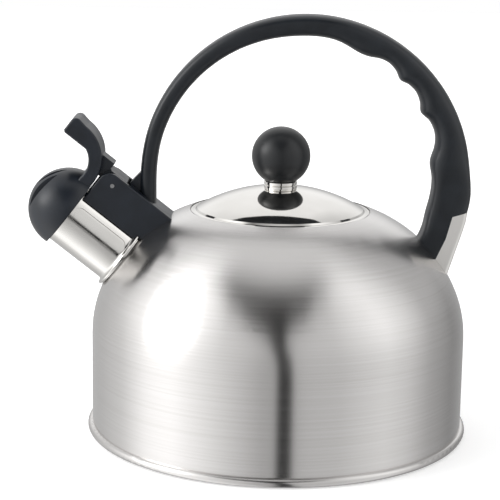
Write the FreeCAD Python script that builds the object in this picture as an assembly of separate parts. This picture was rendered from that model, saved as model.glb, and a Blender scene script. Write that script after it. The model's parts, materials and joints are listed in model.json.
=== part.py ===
import FreeCAD, Part
import math
import os

# Stovetop whistling kettle, in millimetres.
# Origin: the kettle's axis at the hob surface. +Z is up, the spout points towards -X, the handle lies in
# the XZ plane. The spout pieces are drawn in the spout's own frame and then placed on the shoulder.

# Kettle body, drawn from one sheet
WALL_RADIUS = 92.7
WALL_HEIGHT = 49.4
SHEET = 0.8
LOW_SHOULDER_RADIUS = 56.3
LOW_SHOULDER_ANGLE = 23.4
HIGH_SHOULDER_RADIUS = 70.4
MOUTH_RADIUS = 40.0
MOUTH_COLLAR_DEPTH = 6.0
SEAT_DROP = 1.25

# Base pan and its rolled seam
SEAM_PROUD = 2.3
SEAM_ROLL = 2.1
SEAM_LIFT = 0.3
PAN_THICKNESS = 1.0
PAN_STEP = 0.8
PAN_FOOT_INSET = 9.0

# Lid
LID_RADIUS = 44.0
LID_EDGE_GAP = 0.6
LID_SEAT_GAP = 0.3
LID_DOME_RADIUS = 82.0
LID_RISE = 12.8
LID_FLANGE_WIDTH = 3.0
LID_FLANGE_DROP = 1.7
LID_EDGE_HEIGHT = 0.7
SKIRT_CLEARANCE = 0.6
SKIRT_DEPTH = 7.5

# Knob
BALL_RADIUS = 14.4
COLLAR_RADIUS = 8.2
COLLAR_HEIGHT = 2.8
COLLAR_GROOVE = 0.35
COLLAR_GROOVE_RISE = 1.4
BALL_SINK = 2.1
INSERT_RADIUS = 4.0
INSERT_LENGTH = 10.0
KNOB_SCREW_RADIUS = 2.5
KNOB_SCREW_HEAD_RADIUS = 4.5
KNOB_SCREW_HEAD_HEIGHT = 2.6
KNOB_SCREW_GRIP = 8.0
WASHER_RADIUS = 6.0
WASHER_THICKNESS = 1.0

# Spout tube. Along the spout, 0 is the shoulder surface; across it, 0 is the tube's axis.
SPOUT_TILT = 38.0
SPOUT_RISE = 0.3
TUBE_RADIUS = 15.7
TUBE_LENGTH = 32.45
FOOT_RADIUS = 18.1
FOOT_BACK = -1.1
FOOT_FRONT = 0.1
FOOT_BLEND = 1.6
NECK_TOP = -1.5
NECK_GROOVE_RADIUS = 16.9
NECK_BLEND = 8.0
NECK_CORE_RADIUS = 13.0
PAD_START = 2.2
PAD_LENGTH = 28.8
PAD_WIDTH = 5.6
PAD_ANGLE = 20.5
PAD_RAISE = 0.3
PAD_GROOVE_WIDTH = 1.1
PAD_GROOVE_DEPTH = 0.4

# Housing over the spout's root
HOUSING_WIDTH = 22.0
HOUSING_TOP = 31.4
HOUSING_BOTTOM = 12.0
HOUSING_FRONT = 31.95
HOUSING_CORNER = 6.0
HOUSING_WALL = 3.0
HOUSING_REACH = 26.0
HOUSING_EDGE = 0.7
COVER_FRONT = 17.55
GUSSET_LENGTH = 5.0
GUSSET_HEIGHT = 4.2
GUSSET_WIDTH = 7.0
FITTING_GAP = 0.15

# Hinge
PIN_ALONG = 24.75
PIN_ABOVE = 26.3
PIN_RADIUS = 1.0
PIN_RUNNING = 0.05
PIN_PROUD = 0.25
BARREL_RADIUS = 7.0
BARREL_SIDE_GAP = 0.3
SPRING_RADIUS = 3.3
SPRING_WIRE = 0.8
SPRING_TURNS = 4
SPRING_PITCH = 1.0
SPRING_FRONT_LEG = 4.5
SPRING_BACK_LEG = 8.0
SPRING_POCKET_RADIUS = 4.6
SPRING_POCKET_WIDTH = 5.6
POCKET_SKIN = 1.8

# Whistling cap
CAP_RADIUS = 20.0
CAP_RISE = 2.1
CAP_MOUTH_GAP = 0.3
CAP_CENTRE_AHEAD = 1.5
CAP_WALL = 2.2
CAP_BORE_RADIUS = 16.1
CAP_BORE_DEPTH = 7.6
LONG_SLOT_ANGLE = 3.0
LONG_SLOT_SWEEP_RADIUS = 17.0
LONG_SLOT_INNER = 7.9
LONG_SLOT_OUTER = 11.5
SHORT_SLOT_ANGLE = 26.0
SHORT_SLOT_SWEEP_RADIUS = 17.0
SHORT_SLOT_INNER = 3.6
SHORT_SLOT_OUTER = 5.9
WHISTLE_INSET = 0.6
WHISTLE_PLATE = 0.7
WHISTLE_GAP = 4.0
WHISTLE_HOLE_RADIUS = 1.6
WHISTLE_RING_WALL = 1.2
WHISTLE_FIT = 0.05

# Thumb lever
LEVER_WIDTH = 22.0
LEVER_BACK_ARC = 19.75
LEVER_BACK_STEP = 0.1
LEVER_FOOT = 6.7
LEVER_REACH = 27.1
LEVER_UNDERSIDE_ABOVE_PIN = 6.1
LEVER_TIP_HEIGHT = 9.7
LEVER_TIP_ROUND = 3.0
LEVER_EDGE = 1.0
LEVER_ARC_BELOW_PIN = 4.7
LEVER_ELBOW = 6.4
WEB_WIDTH = 11.0
WEB_TOP_ABOVE_PIN = 8.3
WEB_BOTTOM_BELOW_PIN = 0.5
WEB_BACK = 5.6

# Handle
HANDLE_CENTRE_RISE = 76.85
FRONT_LEG_INSET = 9.9
REAR_LEG_PROUD = 0.15
FRONT_LEG_THICKNESS = 7.9
FRONT_LEG_WIDTH = 13.0
GRIP_WIDTH = 18.0
FRONT_LEG_CLEARANCE = 2.5
ARCH = ((180, 7.9), (165, 7.9), (150, 8.2), (135, 8.6), (120, 9.2), (105, 9.9), (92, 10.4), (77, 11.3))
GRIP_CRESTS = ((63.5, 12.9), (47.8, 13.6), (31.5, 15.4), (10.5, 18.4))
SCALLOP_DEPTHS = (2.5, 2.6, 3.5)
SCALLOP_STEPS = 6
LEG_ROUNDNESS = 3.0
GRIP_ROUNDNESS = 2.7
REAR_LEG_ROUNDNESS = 5.0
REAR_LEG = (
    ((0.3, 78.2), (-18.1, 78.4)),
    ((0.5, 68.6), (-18.8, 68.6)),
    ((-1.4, 59.6), (-20.9, 59.4)),
    ((-3.5, 50.6), (-24.0, 48.9)),
    ((-7.5, 37.6), (-28.6, 38.6)),
)

# Lugs and screws
LUG_SHEET = 1.0
LUG_BACK = ((-0.9, 63.0), (-1.6, 58.0), (-3.1, 52.6), (-11.3, 26.2))
LUG_FLANGE = ((-17.6, 26.2), (-15.9, 39.4), (-11.3, 49.7), (-8.4, 60.8))
LUG_BEND = 2.0
REAR_SCREW_RISE = 49.0
SCREW_RADIUS = 2.0
SCREW_HEAD_RADIUS = 3.6
SCREW_HEAD_HEIGHT = 2.4
REAR_SCREW_LENGTH = 14.0
FRONT_SCREW_LENGTH = 7.0
RECESS_WIDTH = 0.9
RECESS_LENGTH = 4.0
RECESS_DEPTH = 1.3
FRONT_LUG_THICKNESS = 1.8
FRONT_LUG_WIDTH = 11.0
FRONT_LUG_RISE = 8.0
FRONT_LUG_LIFT = 1.0
FRONT_SCREW_RISE = 4.5

UP = FreeCAD.Vector(0, 0, 1)
SIDEWAYS = FreeCAD.Vector(0, 1, 0)
FORWARD = FreeCAD.Vector(1, 0, 0)
ORIGIN = FreeCAD.Vector(0, 0, 0)
FAR = 300.0


# Shoulder geometry -------------------------------------------------------------------------------

def turned_point(centre, radius, degrees):
    angle = math.radians(degrees)
    return centre[0] + radius * math.cos(angle), centre[1] + radius * math.sin(angle)


LOW_CENTRE = (WALL_RADIUS - LOW_SHOULDER_RADIUS, WALL_HEIGHT)
HIGH_CENTRE = turned_point(LOW_CENTRE, LOW_SHOULDER_RADIUS - HIGH_SHOULDER_RADIUS, LOW_SHOULDER_ANGLE)


def shoulder_height(radius, inset=0.0):
    """Height of the upper shoulder at a radius, for the outer skin or one set in by inset."""
    reach = HIGH_SHOULDER_RADIUS - inset
    return HIGH_CENTRE[1] + math.sqrt(reach ** 2 - (radius - HIGH_CENTRE[0]) ** 2)


SEAT_RADIUS = LID_RADIUS + LID_EDGE_GAP
SEAT_HEIGHT = shoulder_height(SEAT_RADIUS) - SEAT_DROP
LID_FOOT_HEIGHT = SEAT_HEIGHT + LID_SEAT_GAP
LID_TOP_HEIGHT = LID_FOOT_HEIGHT + LID_RISE
SEAM_CENTRE = (WALL_RADIUS + SEAM_PROUD - SEAM_ROLL, SEAM_LIFT + SEAM_ROLL)
SPOUT_ROOT = turned_point(HIGH_CENTRE, HIGH_SHOULDER_RADIUS, SPOUT_TILT)
HANDLE_FRONT = -(SPOUT_ROOT[0] - FRONT_LEG_INSET)
HANDLE_REAR = WALL_RADIUS + REAR_LEG_PROUD
HANDLE_RADIUS = (HANDLE_REAR - HANDLE_FRONT) / 2
HANDLE_CENTRE = ((HANDLE_REAR + HANDLE_FRONT) / 2, WALL_HEIGHT + HANDLE_CENTRE_RISE)
FRONT_LEG_FOOT = shoulder_height(-HANDLE_FRONT - FRONT_LEG_THICKNESS) + FRONT_LEG_CLEARANCE
CAP_FACE = TUBE_LENGTH + CAP_MOUTH_GAP
CAP_CENTRE = CAP_FACE + CAP_CENTRE_AHEAD


# Drawing helpers ---------------------------------------------------------------------------------

def flat(point):
    return FreeCAD.Vector(point[0], 0, point[1])


def outline(start, *moves):
    """Closed face in the XZ plane. A move is an end point, or a pair: a point on an arc and its end."""
    edges = []
    here = start
    for move in moves + (start,):
        if isinstance(move[0], tuple):
            edges.append(Part.Arc(flat(here), flat(move[0]), flat(move[1])).toShape())
            here = move[1]
        elif math.dist(here, move) > 1e-7:
            edges.append(Part.makeLine(flat(here), flat(move)))
            here = move
    return Part.Face(Part.Wire(edges))


def turned(face):
    return face.revolve(ORIGIN, UP, 360)


def slab(face, width):
    """The face, swept to a slab of that width, centred on the XZ plane."""
    shape = face.copy()
    shape.translate(FreeCAD.Vector(0, -width / 2, 0))
    return shape.extrude(SIDEWAYS * width)


def block(low, high):
    size = [high[i] - low[i] for i in range(3)]
    return Part.makeBox(size[0], size[1], size[2], FreeCAD.Vector(*low))


def rod(radius, length, start, direction):
    return Part.makeCylinder(radius, length, start, direction)


def side_edges(shape, width):
    """Edges that lie in the two flat sides of a slab of that width."""
    picked = []
    for edge in shape.Edges:
        box = edge.BoundBox
        on_side = abs(abs(box.YMin) - width / 2) < 1e-6 and box.YLength < 1e-6
        if on_side:
            picked.append(edge)
    return picked


def on_spout(shape):
    """Places a shape from the spout's frame: its Z is along the spout, its X is above the spout's axis."""
    tilt = math.radians(SPOUT_TILT)
    above = FreeCAD.Vector(math.sin(tilt), 0, math.cos(tilt))
    root = FreeCAD.Vector(-SPOUT_ROOT[0], 0, SPOUT_ROOT[1]) + above * SPOUT_RISE
    placed = shape.copy()
    turn = FreeCAD.Rotation(SIDEWAYS, SPOUT_TILT - 90)
    placed.Placement = FreeCAD.Placement(root, turn).multiply(shape.Placement)
    return placed


def spout_outline(start, *moves):
    """As outline, with points given as (along the spout, above its axis)."""
    def swap(point):
        return point[1], point[0]
    swapped = []
    for move in moves:
        swapped.append((swap(move[0]), swap(move[1])) if isinstance(move[0], tuple) else swap(move))
    return outline(swap(start), *swapped)


# Body --------------------------------------------------------------------------------------------

def skin_moves(inset, last_radius):
    """Moves from the top of the wall over both shoulder arcs to a radius near the mouth."""
    middle = LOW_SHOULDER_ANGLE / 2
    low = LOW_SHOULDER_RADIUS - inset
    high = HIGH_SHOULDER_RADIUS - inset
    last_angle = math.degrees(math.acos((last_radius - HIGH_CENTRE[0]) / high))
    joint = turned_point(LOW_CENTRE, low, LOW_SHOULDER_ANGLE)
    first = (turned_point(LOW_CENTRE, low, middle), joint)
    halfway = (LOW_SHOULDER_ANGLE + last_angle) / 2
    last = turned_point(HIGH_CENTRE, high, last_angle)
    return first, (turned_point(HIGH_CENTRE, high, halfway), last)


def make_outer_body():
    """The kettle's outside as a solid, with the spout's neck blended in and trimmed to its lip."""
    top = shoulder_height(SEAT_RADIUS)
    bottom = SEAM_CENTRE[1]
    low_arc, high_arc = skin_moves(0.0, SEAT_RADIUS)
    edge = (WALL_RADIUS, WALL_HEIGHT)
    body = turned(outline((0, bottom), (WALL_RADIUS, bottom), edge, low_arc, high_arc, (0, top)))
    core = on_spout(Part.makeCylinder(NECK_CORE_RADIUS, 2 * FOOT_RADIUS, FreeCAD.Vector(0, 0, -FOOT_RADIUS)))
    joined = body.fuse(core)
    crossing = [e for e in joined.Edges if is_neck_edge(e)]
    blended = joined.makeFillet(NECK_BLEND, crossing)
    above_lip = on_spout(Part.makeCylinder(2 * FOOT_RADIUS, FAR, FreeCAD.Vector(0, 0, NECK_TOP)))
    return blended.cut(above_lip)


def is_neck_edge(edge):
    """True along the curve where the neck's core leaves the shoulder."""
    centre = on_spout(Part.Vertex(0, 0, 0)).Point
    away = [(vertex.Point - centre).Length for vertex in edge.Vertexes]
    return max(away) < NECK_CORE_RADIUS + 2 and min(away) > NECK_CORE_RADIUS - 2


def body_sheet(outer_body):
    """The body's sheet metal: wall, shoulder with the spout's neck, and the lid's seat with its collar."""
    bottom = SEAM_CENTRE[1]
    inner_radius = WALL_RADIUS - SHEET
    under_seat = SEAT_HEIGHT - SHEET
    reach = HIGH_SHOULDER_RADIUS - SHEET
    join_radius = HIGH_CENTRE[0] + math.sqrt(reach ** 2 - (under_seat - HIGH_CENTRE[1]) ** 2)
    low_arc, high_arc = skin_moves(SHEET, join_radius)
    collar_foot = SEAT_HEIGHT - MOUTH_COLLAR_DEPTH
    collar_back = MOUTH_RADIUS + SHEET
    void = turned(outline(
        (0, bottom - 1), (inner_radius, bottom - 1), (inner_radius, WALL_HEIGHT), low_arc, high_arc,
        (collar_back, under_seat), (collar_back, collar_foot), (MOUTH_RADIUS, collar_foot),
        (MOUTH_RADIUS, SEAT_HEIGHT), (SEAT_RADIUS, SEAT_HEIGHT), (SEAT_RADIUS, FAR), (0, FAR)))
    bore_start = FreeCAD.Vector(0, 0, -FOOT_RADIUS)
    bore = on_spout(Part.makeCylinder(TUBE_RADIUS - SHEET, 2 * FOOT_RADIUS, bore_start))
    return outer_body.cut(void).cut(bore)


def below_shoulder():
    return rod(2 * WALL_RADIUS, WALL_HEIGHT, ORIGIN, UP)


def inside_seat():
    return rod(SEAT_RADIUS, FAR, ORIGIN, UP)


def make_body_wall(sheet):
    return sheet.common(below_shoulder())


def make_body_shoulder(sheet):
    return sheet.cut(below_shoulder()).cut(inside_seat())


def make_mouth_ring(sheet):
    return sheet.common(inside_seat())


def make_base_pan():
    foot = WALL_RADIUS - PAN_FOOT_INSET
    step_end = foot + 2 * PAN_STEP
    top = PAN_STEP + PAN_THICKNESS
    seam_x, seam_z = SEAM_CENTRE
    dip = math.sqrt(SEAM_ROLL ** 2 - (seam_z - PAN_STEP) ** 2)
    inner = WALL_RADIUS - SHEET
    inner_top = seam_z + math.sqrt(SEAM_ROLL ** 2 - (inner - seam_x) ** 2)
    outer_top = seam_z + math.sqrt(SEAM_ROLL ** 2 - (WALL_RADIUS - seam_x) ** 2)
    hem_end = seam_z + math.sqrt(SEAM_ROLL ** 2 - (inner - PAN_THICKNESS - seam_x) ** 2)
    return turned(outline(
        (0, 0), (foot, 0), (step_end, PAN_STEP), (seam_x - dip, PAN_STEP),
        ((seam_x, seam_z - SEAM_ROLL), (seam_x + SEAM_ROLL, seam_z)),
        (turned_point(SEAM_CENTRE, SEAM_ROLL, 50), (WALL_RADIUS, outer_top)),
        (WALL_RADIUS, seam_z), (inner, seam_z), (inner, inner_top),
        (inner - PAN_THICKNESS, hem_end), (inner - PAN_THICKNESS, top),
        (step_end - PAN_STEP, top), (foot - PAN_STEP, PAN_THICKNESS), (0, PAN_THICKNESS)))


# Lid and knob ------------------------------------------------------------------------------------

def lid_height(radius, inset=0.0):
    """Height of the lid's dome at a radius."""
    centre = LID_TOP_HEIGHT - LID_DOME_RADIUS
    return centre + math.sqrt((LID_DOME_RADIUS - inset) ** 2 - radius ** 2)


def make_lid():
    dome_edge = LID_RADIUS - LID_FLANGE_WIDTH
    edge_top = LID_FOOT_HEIGHT + LID_EDGE_HEIGHT
    flange_top = lid_height(dome_edge) - LID_FLANGE_DROP
    half = dome_edge / 2
    shape = turned(outline(
        (0, lid_height(0, SHEET)), (0, lid_height(0)),
        ((half, lid_height(half)), (dome_edge, lid_height(dome_edge))),
        (dome_edge + LID_FLANGE_WIDTH / 4, lid_height(dome_edge) - LID_FLANGE_DROP / 2),
        (LID_RADIUS - LID_EDGE_HEIGHT, max(flange_top, edge_top)),
        (LID_RADIUS, edge_top), (LID_RADIUS, LID_FOOT_HEIGHT),
        (LID_RADIUS - 2 * LID_EDGE_HEIGHT, LID_FOOT_HEIGHT),
        (dome_edge - SHEET, lid_height(dome_edge - SHEET, SHEET)),
        ((half, lid_height(half, SHEET)), (0, lid_height(0, SHEET)))))
    return shape.cut(rod(KNOB_SCREW_RADIUS, FAR, ORIGIN, UP))


def make_lid_skirt():
    outside = MOUTH_RADIUS - SKIRT_CLEARANCE
    inside = outside - SHEET
    foot = LID_FOOT_HEIGHT - SKIRT_DEPTH
    return turned(outline(
        (inside, foot), (outside, foot), (outside, lid_height(outside, SHEET)),
        (inside, lid_height(inside, SHEET))))


def collar_top():
    return LID_TOP_HEIGHT + COLLAR_HEIGHT


def make_knob_collar():
    groove = lid_height(COLLAR_RADIUS) + COLLAR_GROOVE_RISE
    chamfer = COLLAR_GROOVE
    half = COLLAR_RADIUS / 2
    return turned(outline(
        (KNOB_SCREW_RADIUS, lid_height(KNOB_SCREW_RADIUS)),
        ((half, lid_height(half)), (COLLAR_RADIUS, lid_height(COLLAR_RADIUS))),
        (COLLAR_RADIUS, groove - COLLAR_GROOVE), (COLLAR_RADIUS - COLLAR_GROOVE, groove),
        (COLLAR_RADIUS, groove + COLLAR_GROOVE), (COLLAR_RADIUS, collar_top() - chamfer),
        (COLLAR_RADIUS - chamfer, collar_top()), (KNOB_SCREW_RADIUS, collar_top())))


def make_knob_ball():
    centre = FreeCAD.Vector(0, 0, collar_top() + BALL_RADIUS - BALL_SINK)
    ball = Part.makeSphere(BALL_RADIUS, centre)
    ball = ball.cut(block((-FAR, -FAR, collar_top() - FAR), (FAR, FAR, collar_top())))
    pocket = rod(INSERT_RADIUS, INSERT_LENGTH, FreeCAD.Vector(0, 0, collar_top()), UP)
    return ball.cut(pocket)


def make_knob_insert():
    foot = FreeCAD.Vector(0, 0, collar_top())
    thread = rod(KNOB_SCREW_RADIUS, KNOB_SCREW_GRIP, foot, UP)
    return rod(INSERT_RADIUS, INSERT_LENGTH, foot, UP).cut(thread)


def washer_top():
    return lid_height(WASHER_RADIUS, SHEET)


def make_knob_washer():
    foot = FreeCAD.Vector(0, 0, washer_top() - WASHER_THICKNESS)
    disc = rod(WASHER_RADIUS, WASHER_THICKNESS, foot, UP)
    return disc.cut(rod(KNOB_SCREW_RADIUS, WASHER_THICKNESS, foot, UP))


def cross_recess(top):
    """A cross for the screwdriver, cut downwards from that height into a screw that stands along Z."""
    half = RECESS_LENGTH / 2
    low = top - RECESS_DEPTH
    one = block((-half, -RECESS_WIDTH / 2, low), (half, RECESS_WIDTH / 2, top))
    other = block((-RECESS_WIDTH / 2, -half, low), (RECESS_WIDTH / 2, half, top))
    return one.fuse(other)


def pan_screw(shank_radius, head_radius, head_height, length):
    """A screw along Z: its shank goes down from the origin and its rounded head stands on it."""
    bulge = head_height / 2
    head = turned(outline(
        (0, 0), (head_radius, 0), (head_radius, bulge),
        ((head_radius * 0.75, head_height * 0.88), (head_radius * 0.4, head_height)), (0, head_height)))
    shank = rod(shank_radius, length, ORIGIN, -UP)
    return head.fuse(shank).cut(cross_recess(head_height))


def make_knob_screw():
    seat = washer_top() - WASHER_THICKNESS
    length = collar_top() + KNOB_SCREW_GRIP - seat
    screw = pan_screw(KNOB_SCREW_RADIUS, KNOB_SCREW_HEAD_RADIUS, KNOB_SCREW_HEAD_HEIGHT, length)
    screw.rotate(ORIGIN, FORWARD, 180)
    screw.translate(FreeCAD.Vector(0, 0, seat))
    return screw


# Spout tube and housing --------------------------------------------------------------------------

def tube_envelope(extra=0.0):
    """The tube, its flared foot and the blend between them, filled, grown by extra, in the spout's frame."""
    tube = TUBE_RADIUS + extra
    foot = FOOT_RADIUS + extra
    shelf = FOOT_FRONT + extra
    return turned(outline(
        (0, NECK_TOP - extra), (foot, NECK_TOP - extra), (foot, shelf), (tube + FOOT_BLEND, shelf),
        (foot_blend_middle(tube, shelf), (tube, shelf + FOOT_BLEND)), (tube, TUBE_LENGTH), (0, TUBE_LENGTH)))


def foot_blend_middle(radius, height):
    """The middle of the blend's arc, for a tube radius and the height of the foot's shelf."""
    step = FOOT_BLEND * (1 - math.sqrt(0.5))
    return radius + step, height + step


def side_pad(mirror, border):
    """A bar with round ends that leaves one side of the tube, wider than the pad by border all round."""
    half = PAD_WIDTH / 2 + border
    low = PAD_START + PAD_WIDTH / 2
    high = PAD_START + PAD_LENGTH - PAD_WIDTH / 2
    face = outline(
        (-half, low), ((0, low - half), (half, low)), (half, high), ((0, high + half), (-half, high)))
    bar = face.extrude(SIDEWAYS * -mirror * FAR)
    bar.rotate(ORIGIN, UP, mirror * PAD_ANGLE)
    return bar


def tube_layer(inside, outside):
    """A sleeve over the tube's plain length, between two radii."""
    return rod(outside, TUBE_LENGTH, ORIGIN, UP).cut(rod(inside, TUBE_LENGTH, ORIGIN, UP))


def make_spout_tube():
    bore = TUBE_RADIUS - SHEET
    blend = FOOT_BLEND
    body = turned(outline(
        (bore, NECK_TOP), (NECK_GROOVE_RADIUS, NECK_TOP), (NECK_GROOVE_RADIUS, FOOT_BACK),
        (FOOT_RADIUS - 0.3, FOOT_BACK), (FOOT_RADIUS, FOOT_BACK + 0.3), (FOOT_RADIUS, FOOT_FRONT - 0.3),
        (FOOT_RADIUS - 0.3, FOOT_FRONT), (TUBE_RADIUS + blend, FOOT_FRONT),
        (foot_blend_middle(TUBE_RADIUS, FOOT_FRONT), (TUBE_RADIUS, FOOT_FRONT + blend)),
        (TUBE_RADIUS, TUBE_LENGTH), (bore, TUBE_LENGTH)))
    raised = tube_layer(TUBE_RADIUS - PAD_GROOVE_DEPTH, TUBE_RADIUS + PAD_RAISE)
    pressed_in = tube_layer(TUBE_RADIUS - PAD_GROOVE_DEPTH, TUBE_RADIUS + FOOT_BLEND)
    for mirror in (1, -1):
        pad = side_pad(mirror, 0.0)
        body = body.cut(pressed_in.common(side_pad(mirror, PAD_GROOVE_WIDTH)).cut(pad))
        body = body.fuse(raised.common(pad))
    return on_spout(body.removeSplitter())


def make_spout_housing(outer_body, front_leg):
    front = HOUSING_FRONT
    top = HOUSING_TOP
    corner = HOUSING_CORNER
    back = -HOUSING_REACH
    turn = corner * (1 - math.sqrt(0.5))
    shape = slab(spout_outline(
        (back, HOUSING_BOTTOM), (back, top), (front - corner, top),
        ((front - turn, top - turn), (front, top - corner)), (front, HOUSING_BOTTOM)), HOUSING_WIDTH)
    shape = shape.makeFillet(HOUSING_EDGE, side_edges(shape, HOUSING_WIDTH))
    inner = HOUSING_WIDTH - 2 * HOUSING_WALL
    ceiling = top - HOUSING_WALL
    cavity = slab(spout_outline((back, 0), (back, ceiling), (FAR, ceiling), (FAR, 0)), inner)
    hinge_slot = slab(spout_outline((COVER_FRONT, 0), (COVER_FRONT, FAR), (FAR, FAR), (FAR, 0)), inner)
    pin_start = FreeCAD.Vector(PIN_ABOVE, -HOUSING_WIDTH, PIN_ALONG)
    pin_hole = rod(PIN_RADIUS, 2 * HOUSING_WIDTH, pin_start, SIDEWAYS)
    shape = shape.cut(cavity).cut(hinge_slot).cut(pin_hole).cut(tube_envelope(FITTING_GAP))
    shape = on_spout(shape).fuse(make_gusset())
    lid_zone = rod(SEAT_RADIUS + 1, FAR, ORIGIN, UP)
    return shape.cut(outer_body).cut(lid_zone).cut(front_leg)


def housing_top_height(x):
    """Height of the housing's top face at a place in the row's own frame."""
    tilt = math.radians(SPOUT_TILT)
    root_above = -SPOUT_ROOT[0] * math.sin(tilt) + SPOUT_ROOT[1] * math.cos(tilt) + SPOUT_RISE
    return (root_above + HOUSING_TOP - x * math.sin(tilt)) / math.cos(tilt)


def make_gusset():
    """A rib on the housing's top face that props the handle's front leg."""
    leg = HANDLE_FRONT + FRONT_LEG_THICKNESS / 2
    toe = HANDLE_FRONT - GUSSET_LENGTH
    sink = HOUSING_WALL / 2
    crest = housing_top_height(HANDLE_FRONT) + GUSSET_HEIGHT + GUSSET_LENGTH
    return slab(outline(
        (toe, housing_top_height(toe) - sink), (toe, housing_top_height(toe)), (HANDLE_FRONT, crest),
        (leg, crest), (leg, housing_top_height(leg) - sink)), GUSSET_WIDTH)


# Hinge -------------------------------------------------------------------------------------------

def pin_line(radius, width):
    return rod(radius, width, FreeCAD.Vector(PIN_ABOVE, -width / 2, PIN_ALONG), SIDEWAYS)


def make_pivot_pin():
    return on_spout(pin_line(PIN_RADIUS, HOUSING_WIDTH + 2 * PIN_PROUD))


def make_return_spring():
    """A torsion spring round the pin: a short leg in the lever's pocket, a bent one under the cover."""
    height = SPRING_TURNS * SPRING_PITCH
    wire = SPRING_WIRE / 2
    helix = Part.makeHelix(SPRING_PITCH, height, SPRING_RADIUS)
    start = FreeCAD.Vector(SPRING_RADIUS, 0, 0)
    end = FreeCAD.Vector(SPRING_RADIUS, 0, height)
    bend = start - SIDEWAYS * SPRING_BACK_LEG
    under_cover = HOUSING_TOP - HOUSING_WALL - PIN_ABOVE - PIN_RUNNING
    coil = helix.makePipeShell([Part.Wire([Part.makeCircle(wire, start, SIDEWAYS)])], True, True)
    front_leg = rod(wire, SPRING_FRONT_LEG, end, SIDEWAYS)
    back_leg = rod(wire, SPRING_BACK_LEG + wire, start, -SIDEWAYS)
    anchor = rod(wire, under_cover + SPRING_RADIUS, bend, -FORWARD)
    spring = coil.fuse(front_leg).fuse(back_leg).fuse(anchor)
    spring.translate(FreeCAD.Vector(0, 0, -height / 2))
    spring.rotate(ORIGIN, UP, 180)
    spring.rotate(ORIGIN, FORWARD, -90)
    spring.translate(FreeCAD.Vector(PIN_ABOVE, 0, PIN_ALONG))
    return on_spout(spring)


# Whistling cap -----------------------------------------------------------------------------------

def cap_dome_solid():
    dome = Part.makeSphere(CAP_RADIUS, FreeCAD.Vector(CAP_RISE, 0, CAP_CENTRE))
    return dome.cut(block((-FAR, -FAR, -FAR), (FAR, FAR, CAP_FACE)))


def sound_slot(angle, sweep_radius, inner, outer):
    """A crescent that goes through the dome's wall, flat towards the middle and bulging outwards."""
    centre = FreeCAD.Vector(CAP_RISE, 0, CAP_CENTRE)
    bulge = rod(sweep_radius, 2 * CAP_RADIUS, FreeCAD.Vector(0, outer - sweep_radius, CAP_RADIUS / 2), UP)
    crescent = bulge.common(block((-FAR, inner, 0), (FAR, FAR, FAR)))
    crescent.rotate(ORIGIN, SIDEWAYS, angle)
    crescent.translate(centre)
    return crescent


def make_cap_dome():
    bore_foot = FreeCAD.Vector(CAP_RISE, 0, CAP_FACE)
    bore = rod(CAP_BORE_RADIUS, CAP_BORE_DEPTH, bore_foot, UP)
    hollow = Part.makeSphere(CAP_RADIUS - CAP_WALL, FreeCAD.Vector(CAP_RISE, 0, CAP_CENTRE))
    hollow = hollow.cut(block((-FAR, -FAR, -FAR), (FAR, FAR, CAP_FACE + CAP_BORE_DEPTH)))
    dome = cap_dome_solid().cut(bore).cut(hollow)
    slots = (
        (LONG_SLOT_ANGLE, LONG_SLOT_SWEEP_RADIUS, LONG_SLOT_INNER, LONG_SLOT_OUTER),
        (SHORT_SLOT_ANGLE, SHORT_SLOT_SWEEP_RADIUS, SHORT_SLOT_INNER, SHORT_SLOT_OUTER))
    for size in slots:
        slot = sound_slot(*size)
        dome = dome.cut(slot).cut(slot.mirror(ORIGIN, SIDEWAYS))
    return on_spout(dome)


def whistle_disc(start, thickness, hole_radius):
    foot = FreeCAD.Vector(CAP_RISE, 0, start)
    disc = rod(CAP_BORE_RADIUS - WHISTLE_FIT, thickness, foot, UP)
    return on_spout(disc.cut(rod(hole_radius, thickness, foot, UP)))


def make_whistle_plate_inner():
    return whistle_disc(CAP_FACE + WHISTLE_INSET, WHISTLE_PLATE, WHISTLE_HOLE_RADIUS)


def make_whistle_spacer():
    start = CAP_FACE + WHISTLE_INSET + WHISTLE_PLATE
    return whistle_disc(start, WHISTLE_GAP, CAP_BORE_RADIUS - WHISTLE_RING_WALL)


def make_whistle_plate_outer():
    start = CAP_FACE + WHISTLE_INSET + WHISTLE_PLATE + WHISTLE_GAP
    return whistle_disc(start, WHISTLE_PLATE, WHISTLE_HOLE_RADIUS)


def make_lever_blade():
    back = CAP_FACE + LEVER_BACK_STEP
    front = back + LEVER_FOOT
    arc = LEVER_BACK_ARC
    level = PIN_ABOVE - LEVER_ARC_BELOW_PIN
    under = PIN_ABOVE + LEVER_UNDERSIDE_ABOVE_PIN
    tip = back + LEVER_REACH
    tip_top = under + LEVER_TIP_HEIGHT
    round_off = LEVER_TIP_ROUND
    bend = round_off * (1 - math.sqrt(0.5))
    elbow = LEVER_ELBOW
    throat = front + elbow
    shape = slab(spout_outline(
        (back, CAP_RISE), (back, level),
        ((back + arc * (1 - math.sqrt(0.5)), level + arc * math.sqrt(0.5)), (back + arc, level + arc)),
        (tip - round_off, tip_top),
        ((tip - bend, tip_top - bend), (tip, tip_top - round_off)),
        (tip, under + 1), (tip - 1, under), (throat, under),
        ((front + elbow * 0.28, under - elbow * 0.6), (front, under - 2 * elbow)),
        (front, CAP_RISE)), LEVER_WIDTH)
    return shape.makeFillet(LEVER_EDGE, side_edges(shape, LEVER_WIDTH))


def make_hinge_web():
    top = PIN_ABOVE + WEB_TOP_ABOVE_PIN
    low = PIN_ABOVE - WEB_BOTTOM_BELOW_PIN
    back = PIN_ALONG + WEB_BACK
    front = CAP_FACE + LEVER_FOOT / 2
    flush = HOUSING_TOP
    return slab(spout_outline(
        (PIN_ALONG, low - 2), (PIN_ALONG, flush), (back, flush), (back, top),
        (front + 2, top), (front, low)), WEB_WIDTH)


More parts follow.
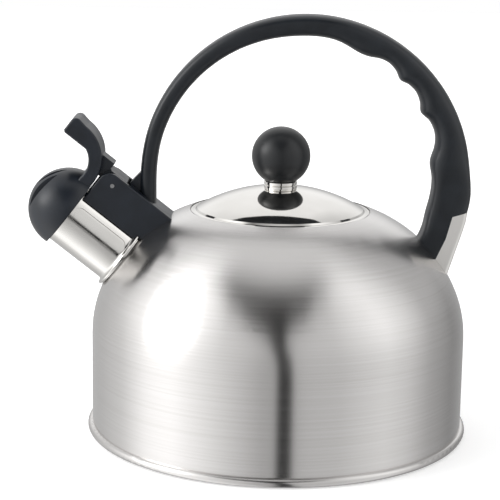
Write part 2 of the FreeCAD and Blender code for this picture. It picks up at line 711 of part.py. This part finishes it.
def make_hinge_barrel():
    width = HOUSING_WIDTH - 2 * HOUSING_WALL - 2 * BARREL_SIDE_GAP
    barrel = pin_line(BARREL_RADIUS, width)
    return barrel.cut(block((HOUSING_TOP, -FAR, -FAR), (FAR, FAR, FAR)))


def spring_pocket():
    width = SPRING_POCKET_WIDTH
    radius = SPRING_POCKET_RADIUS
    round_part = pin_line(radius, width)
    low = (PIN_ABOVE - 2 * BARREL_RADIUS, -width / 2, PIN_ALONG - radius)
    below = block(low, (PIN_ABOVE, width / 2, PIN_ALONG + radius))
    start = (PIN_ABOVE - radius, -width / 2, PIN_ALONG - 2 * BARREL_RADIUS)
    behind = block(start, (HOUSING_TOP - POCKET_SKIN, width / 2, PIN_ALONG))
    return round_part.fuse(below).fuse(behind)


def make_cap_lever():
    lever = make_lever_blade().fuse(make_hinge_web()).fuse(make_hinge_barrel())
    lever = lever.cut(spring_pocket()).cut(pin_line(PIN_RADIUS + PIN_RUNNING, FAR))
    dome = Part.makeSphere(CAP_RADIUS, FreeCAD.Vector(CAP_RISE, 0, CAP_CENTRE))
    return on_spout(lever.cut(dome).removeSplitter())


# Handle ------------------------------------------------------------------------------------------

def handle_section(outer, inner, width, roundness):
    """A rounded section between two points of the XZ plane, as wide as given along Y."""
    middle = ((outer[0] + inner[0]) / 2, (outer[1] + inner[1]) / 2)
    half = ((outer[0] - inner[0]) / 2, (outer[1] - inner[1]) / 2)
    count = 32
    points = []
    for i in range(count):
        angle = 2 * math.pi * i / count
        across = math.copysign(abs(math.cos(angle)) ** (2 / roundness), math.cos(angle))
        aside = math.copysign(abs(math.sin(angle)) ** (2 / roundness), math.sin(angle))
        x = middle[0] + half[0] * across
        z = middle[1] + half[1] * across
        points.append(FreeCAD.Vector(x, aside * width / 2, z))
    curve = Part.BSplineCurve()
    curve.interpolate(points, PeriodicFlag=True)
    return Part.Wire([curve.toShape()])


def arch_section(angle, thickness, width, roundness):
    outer = turned_point(HANDLE_CENTRE, HANDLE_RADIUS, angle)
    inner = turned_point(HANDLE_CENTRE, HANDLE_RADIUS - thickness, angle)
    return handle_section(outer, inner, width, roundness)


def arch_width(angle):
    """The handle widens evenly from the front leg to the start of the grip."""
    first, last = ARCH[0][0], ARCH[-1][0]
    share = (first - angle) / (first - last)
    return FRONT_LEG_WIDTH + (GRIP_WIDTH - FRONT_LEG_WIDTH) * share


def grip_sections():
    sections = []
    for crest, after, depth in zip(GRIP_CRESTS, GRIP_CRESTS[1:], SCALLOP_DEPTHS):
        for step in range(SCALLOP_STEPS):
            share = step / SCALLOP_STEPS
            angle = crest[0] + (after[0] - crest[0]) * share
            thickness = crest[1] + (after[1] - crest[1]) * share - depth * math.sin(math.pi * share)
            sections.append(arch_section(angle, thickness, GRIP_WIDTH, GRIP_ROUNDNESS))
    angle, thickness = GRIP_CRESTS[-1]
    sections.append(arch_section(angle, thickness, GRIP_WIDTH, GRIP_ROUNDNESS))
    return sections


def by_wall(point):
    """A point given from the top of the rear wall."""
    return WALL_RADIUS + point[0], WALL_HEIGHT + point[1]


def handle_blank():
    inner_x = HANDLE_FRONT + FRONT_LEG_THICKNESS
    sections = []
    for height in (FRONT_LEG_FOOT, (FRONT_LEG_FOOT + HANDLE_CENTRE[1]) / 2):
        pair = (HANDLE_FRONT, height), (inner_x, height)
        sections.append(handle_section(*pair, FRONT_LEG_WIDTH, LEG_ROUNDNESS))
    for angle, thickness in ARCH:
        sections.append(arch_section(angle, thickness, arch_width(angle), LEG_ROUNDNESS))
    sections += grip_sections()
    for outer, inner in REAR_LEG:
        sections.append(handle_section(by_wall(outer), by_wall(inner), GRIP_WIDTH, REAR_LEG_ROUNDNESS))
    return Part.makeLoft(sections, True, False)


def lug_outline():
    return outline(by_wall(LUG_BACK[0]), *[by_wall(point) for point in LUG_BACK[1:] + LUG_FLANGE])


def lug_solid(inset):
    """The rear lug's outer shape, or its inside when inset by the sheet's thickness."""
    back = [by_wall((x - inset, z)) for x, z in LUG_BACK]
    front = [by_wall(point) for point in LUG_FLANGE]
    if inset:
        back = [(x, z + 20 * (i == 0)) for i, (x, z) in enumerate(back)]
        front = [(x - 20, z) for x, z in front]
        front[-1] = (front[-1][0], back[0][1])
    shape = slab(outline(back[0], *back[1:], *front), GRIP_WIDTH - 2 * inset)
    radius = LUG_BEND - inset / 2
    rear = [e for e in side_edges(shape, GRIP_WIDTH - 2 * inset) if edge_is_rear(e, back)]
    return shape.makeFillet(radius, rear)


def edge_is_rear(edge, back):
    ends = [(vertex.Point.x, vertex.Point.z) for vertex in edge.Vertexes]
    return all(any(math.dist(end, point) < 1e-6 for point in back) for end in ends)


def rear_screw_frame():
    """The rear screw's seat on the lug's back, and the direction it is driven in."""
    top, foot = by_wall(LUG_BACK[-2]), by_wall(LUG_BACK[-1])
    along = FreeCAD.Vector(foot[0] - top[0], 0, foot[1] - top[1]).normalize()
    share = (top[1] - WALL_HEIGHT - REAR_SCREW_RISE) / (top[1] - foot[1])
    seat = flat(top) + (flat(foot) - flat(top)) * share
    return seat, along.cross(SIDEWAYS)


def countersunk_screw(length):
    """A screw along Z with its flat head's top at the origin, going down."""
    radius = SCREW_HEAD_RADIUS
    neck = SCREW_RADIUS - radius
    return turned(outline((0, 0), (radius, 0), (SCREW_RADIUS, neck), (SCREW_RADIUS, -length), (0, -length)))


def place_screw(screw, seat, inwards):
    screw.Placement = FreeCAD.Placement(seat, FreeCAD.Rotation(-UP, inwards)).multiply(screw.Placement)
    return screw


def rear_screw_hole():
    seat, outwards = rear_screw_frame()
    return place_screw(countersunk_screw(REAR_SCREW_LENGTH), seat, -outwards)


def make_rear_handle_screw():
    seat, outwards = rear_screw_frame()
    screw = countersunk_screw(REAR_SCREW_LENGTH).cut(cross_recess(0))
    return place_screw(screw, seat, -outwards)


def make_rear_lug(outer_body):
    lug = lug_solid(0.0).cut(lug_solid(LUG_SHEET))
    return lug.cut(outer_body).cut(rear_screw_hole())


def front_screw_height():
    return FRONT_LEG_FOOT + FRONT_SCREW_RISE


def front_lug_face():
    return HANDLE_FRONT - FRONT_LUG_THICKNESS


def make_front_lug(outer_body):
    half = FRONT_LUG_WIDTH / 2
    top = FRONT_LEG_FOOT + FRONT_LUG_RISE
    low = shoulder_height(-HANDLE_FRONT) + FRONT_LUG_LIFT
    plate = block((front_lug_face(), -half, low), (HANDLE_FRONT, half, top))
    hole = rod(SCREW_RADIUS, FAR, FreeCAD.Vector(-FAR, 0, front_screw_height()), FORWARD)
    return plate.cut(outer_body).cut(on_spout(tube_envelope(FITTING_GAP))).cut(hole)


def make_front_handle_screw():
    length = FRONT_LUG_THICKNESS + FRONT_SCREW_LENGTH
    screw = pan_screw(SCREW_RADIUS, SCREW_HEAD_RADIUS, SCREW_HEAD_HEIGHT, length)
    seat = FreeCAD.Vector(front_lug_face(), 0, front_screw_height())
    return place_screw(screw, seat, FORWARD)


def front_screw_hole():
    start = FreeCAD.Vector(front_lug_face(), 0, front_screw_height())
    return rod(SCREW_RADIUS, FRONT_LUG_THICKNESS + FRONT_SCREW_LENGTH, start, FORWARD)


def make_handle(outer_body, blank):
    """The blank, seated on the shoulder and let into the rear lug."""
    around_lug = slab(lug_outline(), 2 * GRIP_WIDTH).fuse(behind_lug()).cut(lug_solid(LUG_SHEET))
    handle = blank.cut(outer_body).cut(around_lug)
    return handle.cut(rear_screw_hole()).cut(front_screw_hole())


def behind_lug():
    """The space behind the lug's back, where the handle's blank stands proud of it."""
    back = [by_wall(point) for point in LUG_BACK]
    away = (back[0][0] + GRIP_WIDTH, back[-1][1]), (back[0][0] + GRIP_WIDTH, back[0][1])
    return slab(outline(back[0], *back[1:], *away), 2 * GRIP_WIDTH)


# Build -------------------------------------------------------------------------------------------

def make_parts():
    outer_body = make_outer_body()
    sheet = body_sheet(outer_body)
    blank = handle_blank()
    leg_end = HANDLE_FRONT + 2 * FRONT_LEG_THICKNESS
    left_side = block((-FAR, -FAR, -FAR), (leg_end, FAR, HANDLE_CENTRE[1] + GRIP_WIDTH))
    front_leg = blank.common(left_side)
    return {
        "body_wall": make_body_wall(sheet),
        "body_shoulder": make_body_shoulder(sheet),
        "mouth_ring": make_mouth_ring(sheet),
        "base_pan": make_base_pan(),
        "spout_tube": make_spout_tube(),
        "spout_housing": make_spout_housing(outer_body, front_leg),
        "front_lug": make_front_lug(outer_body),
        "front_handle_screw": make_front_handle_screw(),
        "pivot_pin": make_pivot_pin(),
        "return_spring": make_return_spring(),
        "cap_dome": make_cap_dome(),
        "cap_lever": make_cap_lever(),
        "whistle_plate_inner": make_whistle_plate_inner(),
        "whistle_spacer": make_whistle_spacer(),
        "whistle_plate_outer": make_whistle_plate_outer(),
        "handle": make_handle(outer_body, blank),
        "rear_lug": make_rear_lug(outer_body),
        "rear_handle_screw": make_rear_handle_screw(),
        "lid": make_lid(),
        "lid_skirt": make_lid_skirt(),
        "knob_collar": make_knob_collar(),
        "knob_ball": make_knob_ball(),
        "knob_insert": make_knob_insert(),
        "knob_washer": make_knob_washer(),
        "knob_screw": make_knob_screw(),
    }


os.makedirs("parts", exist_ok=True)
for name, shape in make_parts().items():
    print(name, shape.isValid(), len(shape.Solids), round(shape.Volume, 1))
    shape.exportStep("parts/" + name + ".step")
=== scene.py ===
import json
import math

import bpy
from mathutils import Matrix, Vector

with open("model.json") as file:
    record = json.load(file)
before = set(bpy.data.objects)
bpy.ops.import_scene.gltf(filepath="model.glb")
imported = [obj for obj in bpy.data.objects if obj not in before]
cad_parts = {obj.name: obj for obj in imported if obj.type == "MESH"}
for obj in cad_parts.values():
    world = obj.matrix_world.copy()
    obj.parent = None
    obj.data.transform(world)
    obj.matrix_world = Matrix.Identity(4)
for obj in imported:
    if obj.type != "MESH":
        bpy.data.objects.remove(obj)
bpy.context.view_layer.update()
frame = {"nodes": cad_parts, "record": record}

MM = 0.001

# Blender's noise seldom leaves this range, so it is spread over a pattern's whole range.
NOISE_LOW = 0.3
NOISE_HIGH = 0.7


# Helpers for materials --------------------------------------------------------------------------

def rgb(code):
    """An sRGB hex colour as linear RGBA."""
    parts = [int(code[i:i + 2], 16) / 255 for i in (1, 3, 5)]
    linear = [c / 12.92 if c <= 0.04045 else ((c + 0.055) / 1.055) ** 2.4 for c in parts]
    return (*linear, 1.0)


def add(tree, kind, props=None, values=None, links=None):
    """Adds a node, with its properties, its sockets' values and the sockets that feed it."""
    node = tree.nodes.new(kind)
    for name, value in (props or {}).items():
        setattr(node, name, value)
    for name, value in (values or {}).items():
        node.inputs[name].default_value = value
    for name, socket in (links or {}).items():
        tree.links.new(socket, node.inputs[name])
    return node


def calc(tree, operation, first, second=None):
    """One step of arithmetic on sockets or numbers."""
    values = {}
    links = {}
    for index, term in enumerate((first, second)):
        if isinstance(term, (int, float)):
            values[index] = term
        elif term is not None:
            links[index] = term
    return add(tree, "ShaderNodeMath", {"operation": operation}, values, links).outputs["Value"]


def new_material(name, base, metallic, roughness, **values):
    """A material with a Principled shader, and the places its patterns are read at."""
    material = bpy.data.materials.new(name)
    material.use_nodes = True
    tree = material.node_tree
    shader = tree.nodes["Principled BSDF"]
    shader.inputs["Base Color"].default_value = rgb(base)
    shader.inputs["Metallic"].default_value = metallic
    shader.inputs["Roughness"].default_value = roughness
    for socket, value in values.items():
        shader.inputs[socket.replace("_", " ")].default_value = value
    place = add(tree, "ShaderNodeTexCoord").outputs["Object"]
    return material, tree, shader, place


def noise(tree, place, period_mm, stretch=(1, 1, 1), detail=3.0, rough=0.5):
    """Noise whose lumps are about period_mm across, stretched along an axis where its factor is under 1."""
    scale = [s / (period_mm * MM) for s in stretch]
    mapped = add(tree, "ShaderNodeMapping", values={"Scale": scale}, links={"Vector": place})
    node = add(tree, "ShaderNodeTexNoise", values={"Scale": 1.0, "Detail": detail, "Roughness": rough},
               links={"Vector": mapped.outputs["Vector"]})
    return node.outputs["Fac"]


def remap(tree, value, low, high):
    """Spreads noise from low to high."""
    node = add(tree, "ShaderNodeMapRange", links={"Value": value}, values={
        "From Min": NOISE_LOW, "From Max": NOISE_HIGH, "To Min": low, "To Max": high})
    return node.outputs["Result"]


def two_tones(tree, shader, value, first, second):
    """Drifts the base colour between two close tones, where noise is low and high."""
    tone = add(tree, "ShaderNodeMix", {"data_type": "RGBA"}, links={"Factor": remap(tree, value, 0.0, 1.0)})
    tone.inputs["A"].default_value = rgb(first)
    tone.inputs["B"].default_value = rgb(second)
    tree.links.new(tone.outputs["Result"], shader.inputs["Base Color"])


def bump(tree, shader, height, depth_mm, strength):
    """Raises the surface by up to depth_mm where height is high."""
    node = add(tree, "ShaderNodeBump", values={"Strength": strength, "Distance": depth_mm * MM},
               links={"Height": height})
    tree.links.new(node.outputs["Normal"], shader.inputs["Normal"])


# Materials ---------------------------------------------------------------------------------------

def turned_coordinates(tree, place, ring_mm, turns):
    """Coordinates for marks left by a lathe: fine across the rings, and slow round the axis."""
    split = add(tree, "ShaderNodeSeparateXYZ", links={"Vector": place})
    x, y, z = (split.outputs[axis] for axis in "XYZ")
    angle = calc(tree, "ARCTAN2", y, x)
    flat = add(tree, "ShaderNodeCombineXYZ", links={"X": x, "Y": y})
    radius = add(tree, "ShaderNodeVectorMath", {"operation": "LENGTH"}, {}, {0: flat.outputs["Vector"]})
    rings = 1 / (ring_mm * MM)
    around = calc(tree, "MULTIPLY", angle, turns)
    across = calc(tree, "MULTIPLY", radius.outputs["Value"], rings)
    up = calc(tree, "MULTIPLY", z, rings)
    return add(tree, "ShaderNodeCombineXYZ", links={"X": around, "Y": across, "Z": up}).outputs["Vector"]


def satin_steel_spun():
    # Stainless 18/10 sheet, brushed in a lathe: fine rings round the axis stretch every highlight upwards.
    # The rings are drawn 0.7 mm apart, several times coarser than real ones, so that they show.
    material, tree, shader, place = new_material(
        "stainless_steel_spun_satin", "#cbc9c8", 1.0, 0.235, Anisotropic=0.9, Anisotropic_Rotation=0.25)
    tangent = add(tree, "ShaderNodeTangent", {"direction_type": "RADIAL", "axis": "Z"})
    tree.links.new(tangent.outputs["Tangent"], shader.inputs["Tangent"])
    rings = add(tree, "ShaderNodeTexNoise", values={"Scale": 1.0, "Detail": 3.0, "Roughness": 0.6},
                links={"Vector": turned_coordinates(tree, place, 0.7, 0.6)}).outputs["Fac"]
    tree.links.new(remap(tree, rings, 0.22, 0.25), shader.inputs["Roughness"])
    two_tones(tree, shader, rings, "#c8c6c4", "#cecccb")
    bump(tree, shader, rings, 0.0006, 0.12)
    return material


def polished_steel(name, least, most):
    # Stainless sheet, buffed with compound: a near mirror with the faint swirl of the mop.
    material, tree, shader, place = new_material(name, "#d6d4d1", 1.0, (least + most) / 2)
    swirl = noise(tree, place, 6.0)
    tree.links.new(remap(tree, swirl, least, most), shader.inputs["Roughness"])
    two_tones(tree, shader, noise(tree, place, 22.0, detail=2.0), "#d0ceca", "#dad8d5")
    return material


def brushed_steel_strip():
    # Stainless strip with straight belt-ground grain.
    material, tree, shader, place = new_material("stainless_steel_belt_ground", "#e6e4e1", 1.0, 0.52)
    grain = noise(tree, place, 0.4, (1, 1, 0.02))
    tree.links.new(remap(tree, grain, 0.46, 0.58), shader.inputs["Roughness"])
    bump(tree, shader, grain, 0.008, 0.5)
    return material


def plain_screw_steel():
    # Cold-headed stainless screw, left as pressed.
    material, tree, shader, place = new_material("screw_steel_plain", "#a3a3a4", 1.0, 0.32)
    tree.links.new(remap(tree, noise(tree, place, 0.8), 0.26, 0.4), shader.inputs["Roughness"])
    return material


def spring_wire():
    # Drawn spring wire, slightly dark from its heat treatment.
    material, tree, shader, place = new_material("spring_wire_drawn", "#77777a", 1.0, 0.35)
    tree.links.new(remap(tree, noise(tree, place, 0.5), 0.28, 0.42), shader.inputs["Roughness"])
    return material


def pressed_aluminium():
    # Aluminium sheet, blanked and dished in a press.
    material, tree, shader, place = new_material("aluminium_pressed", "#c9cacb", 1.0, 0.34)
    tree.links.new(remap(tree, noise(tree, place, 1.0), 0.28, 0.42), shader.inputs["Roughness"])
    return material


def turned_brass():
    # Brass bar, turned: a warm metal with fine tool rings.
    material, tree, shader, place = new_material("brass_turned", "#c9a45a", 1.0, 0.28)
    tool_rings = noise(tree, place, 0.4, (0.1, 0.1, 1))
    tree.links.new(remap(tree, tool_rings, 0.22, 0.36), shader.inputs["Roughness"])
    return material


def black_moulding(name, tones, roughness, grain_mm, grain_depth):
    # Phenolic, compression moulded in a spark-eroded mould: almost black with a trace of blue, and a fine
    # even grain that breaks up the highlight. The grain is drawn coarser than the real 0.1 mm so it shows.
    material, tree, shader, place = new_material(name, tones[0], 0.0, roughness, IOR=1.47)
    tone = noise(tree, place, 9.0, detail=4.0)
    two_tones(tree, shader, tone, *tones)
    grain = noise(tree, place, grain_mm, detail=1.0)
    tree.links.new(remap(tree, tone, roughness - 0.04, roughness + 0.05), shader.inputs["Roughness"])
    bump(tree, shader, grain, grain_depth, 0.6)
    return material


MATERIALS = {
    "brushed_body": satin_steel_spun(),
    "polished_steel": polished_steel("stainless_steel_buffed", 0.1, 0.17),
    "mirror_steel": polished_steel("stainless_steel_mirror", 0.03, 0.07),
    "brushed_lug": brushed_steel_strip(),
    "screw_steel": plain_screw_steel(),
    "spring_steel": spring_wire(),
    "whistle_metal": pressed_aluminium(),
    "brass_insert": turned_brass(),
    "black_moulding": black_moulding("phenolic_moulded_grained", ("#0e141c", "#151c26"), 0.36, 0.6, 0.04),
    "black_handle": black_moulding("phenolic_moulded_handle", ("#0d1218", "#131920"), 0.36, 0.7, 0.05),
    "black_knob": black_moulding("phenolic_moulded_knob", ("#0f1114", "#15181b"), 0.38, 0.6, 0.03),
}


def finish_cad_nodes():
    slots = {entry["node"]: entry["material_slot"] for entry in frame["record"]["subparts"]}
    for name, node in frame["nodes"].items():
        node.data.materials.clear()
        node.data.materials.append(MATERIALS[slots[name]])


finish_cad_nodes()


# Studio ------------------------------------------------------------------------------------------

FLOOR_SIZE = 6.0
FLOOR_LIFT = 0.3


def pale_floor():
    bpy.ops.object.select_all(action="DESELECT")
    bpy.ops.mesh.primitive_plane_add(size=FLOOR_SIZE)
    floor = bpy.context.object
    floor.name = "studio_floor"
    material, tree, shader, place = new_material("studio_paper_pale", "#fbfbfb", 0.0, 0.9)
    two_tones(tree, shader, noise(tree, place, 400.0), "#fafafa", "#fdfdfd")
    shader.inputs["Emission Color"].default_value = rgb("#ffffff")
    shader.inputs["Emission Strength"].default_value = FLOOR_LIFT
    floor.data.materials.append(material)
    floor.visible_glossy = False


# Brightness of the studio round the kettle, by compass angle in degrees: 0 is where the camera stands and
# positive angles lie to its right. Low is at table height, high is where the soft boxes hang.
STUDIO_LOW = ((-180, 0.50), (-140, 0.66), (-110, 0.94), (-88, 1.5), (-66, 1.6), (-50, 1.35), (-25, 0.88),
              (-9, 0.6), (20, 0.74), (38, 0.78), (50, 0.9), (68, 1.05), (84, 0.93), (105, 0.57), (133, 0.34),
              (180, 0.5))
STUDIO_HIGH = ((-180, 1.22), (-158, 1.2), (-140, 0.9), (-125, 0.95), (-102, 1.6), (-75, 1.9), (-55, 1.75),
               (-35, 1.1), (0, 0.85), (35, 0.9), (55, 1.25), (72, 1.55), (90, 1.2), (110, 0.7), (140, 0.6),
               (158, 1.15), (180, 1.22))
BRIGHTEST = 2.0
OVERHEAD = 1.05
SOFT_BOX = (-0.88, -0.23, 0.41)
SOFT_BOX_LEVEL = 6.2
SOFT_BOX_EDGE = (0.93, 0.995)
GAP_LEVEL = 0.005


def compass_ramp(tree, turn, stops):
    ramp = add(tree, "ShaderNodeValToRGB", links={"Fac": turn})
    points = ramp.color_ramp.elements
    while len(points) < len(stops):
        points.new(0.5)
    for point, (angle, level) in zip(points, stops):
        point.position = (angle + 180) / 360
        grey = level / BRIGHTEST
        point.color = (grey, grey, grey, 1.0)
    return ramp.outputs["Color"]


def smooth_step(tree, value, start, end):
    """Rises softly from 0 at start to 1 at end, which may be the lower of the two."""
    ends = {"From Min": min(start, end), "From Max": max(start, end),
            "To Min": float(start > end), "To Max": float(end > start)}
    node = add(tree, "ShaderNodeMapRange", {"interpolation_type": "SMOOTHSTEP"}, ends, {"Value": value})
    return node.outputs["Result"]


def mix_levels(tree, share, low, high):
    node = add(tree, "ShaderNodeMix", {"data_type": "RGBA"}, {}, {"Factor": share})
    for name, level in (("A", low), ("B", high)):
        if isinstance(level, float):
            node.inputs[name].default_value = (level, level, level, 1.0)
        else:
            tree.links.new(level, node.inputs[name])
    return node.outputs["Result"]


def gap_share(tree, right, away, up):
    """1 inside the dark gap, 0 outside: a slit at table height that widens to a patch above the camera."""
    widening = calc(tree, "MULTIPLY", smooth_step(tree, up, 0.35, 0.85), 0.4)
    half_width = calc(tree, "ADD", widening, 0.088)
    drift = calc(tree, "MULTIPLY", smooth_step(tree, up, 0.0, 0.6), 0.13)
    off_centre = calc(tree, "ABSOLUTE", calc(tree, "SUBTRACT", right, calc(tree, "SUBTRACT", 0.065, drift)))
    sides = smooth_step(tree, calc(tree, "DIVIDE", off_centre, half_width), 1.15, 0.6)
    behind = smooth_step(tree, away, 0.0, -0.15)
    below_top = smooth_step(tree, up, 1.0, 0.86)
    return calc(tree, "MULTIPLY", calc(tree, "MULTIPLY", sides, behind), below_top)


def studio_light():
    """A plain white room with a bright ceiling, a soft box on the left and a dark gap behind the camera."""
    world = bpy.data.worlds.new("studio_surround")
    bpy.context.scene.world = world
    world.use_nodes = True
    tree = world.node_tree
    direction = add(tree, "ShaderNodeTexCoord").outputs["Generated"]
    split = add(tree, "ShaderNodeSeparateXYZ", links={"Vector": direction})
    right, away, up = (split.outputs[axis] for axis in "XYZ")
    angle = calc(tree, "ARCTAN2", right, calc(tree, "MULTIPLY", away, -1.0))
    turn = calc(tree, "ADD", calc(tree, "DIVIDE", angle, 2 * math.pi), 0.5)
    sides = mix_levels(tree, smooth_step(tree, up, -0.05, 0.35),
                       compass_ramp(tree, turn, STUDIO_LOW), compass_ramp(tree, turn, STUDIO_HIGH))
    level = mix_levels(tree, smooth_step(tree, up, 0.8, 0.98), sides, OVERHEAD / BRIGHTEST)
    level = mix_levels(tree, gap_share(tree, right, away, up), level, GAP_LEVEL)
    towards = add(tree, "ShaderNodeVectorMath", {"operation": "DOT_PRODUCT"}, {1: SOFT_BOX}, {0: direction})
    in_box = smooth_step(tree, towards.outputs["Value"], *SOFT_BOX_EDGE)
    level = mix_levels(tree, in_box, level, SOFT_BOX_LEVEL / BRIGHTEST)
    surround = tree.nodes["Background"]
    surround.inputs["Strength"].default_value = BRIGHTEST
    tree.links.new(level, surround.inputs["Color"])
    backdrop = add(tree, "ShaderNodeBackground", values={"Color": rgb("#ffffff"), "Strength": 1.0})
    seen = add(tree, "ShaderNodeLightPath").outputs["Is Camera Ray"]
    blend = add(tree, "ShaderNodeMixShader", links={0: seen, 1: surround.outputs[0], 2: backdrop.outputs[0]})
    tree.links.new(blend.outputs[0], tree.nodes["World Output"].inputs["Surface"])


LENS_MM = 117.83
SENSOR_MM = 36.0
CAMERA_ELEVATION = 12.28
CAMERA_ROLL = 0.914
CAMERA_DISTANCE_MM = 814.1
AIM_MM = (-14.55, 0, 90.2)


def camera():
    """Looks down on the kettle a little, from across a table, level but for a slight roll."""
    lens = bpy.data.cameras.new("camera")
    lens.sensor_width = SENSOR_MM
    lens.lens = LENS_MM
    lens.clip_start = 0.05
    lens.clip_end = 50.0
    rig = bpy.data.objects.new("camera", lens)
    bpy.context.scene.collection.objects.link(rig)
    elevation = math.radians(CAMERA_ELEVATION)
    towards_camera = Vector((0, -math.cos(elevation), math.sin(elevation)))
    place = (Vector(AIM_MM) + towards_camera * CAMERA_DISTANCE_MM) * MM
    roll = Matrix.Rotation(math.radians(CAMERA_ROLL), 4, "Z")
    turn = Matrix.Rotation(math.pi / 2 - elevation, 4, "X") @ roll
    rig.matrix_world = Matrix.Translation(place) @ turn
    bpy.context.scene.camera = rig


pale_floor()
studio_light()
camera()
bpy.context.scene.view_settings.view_transform = "Standard"
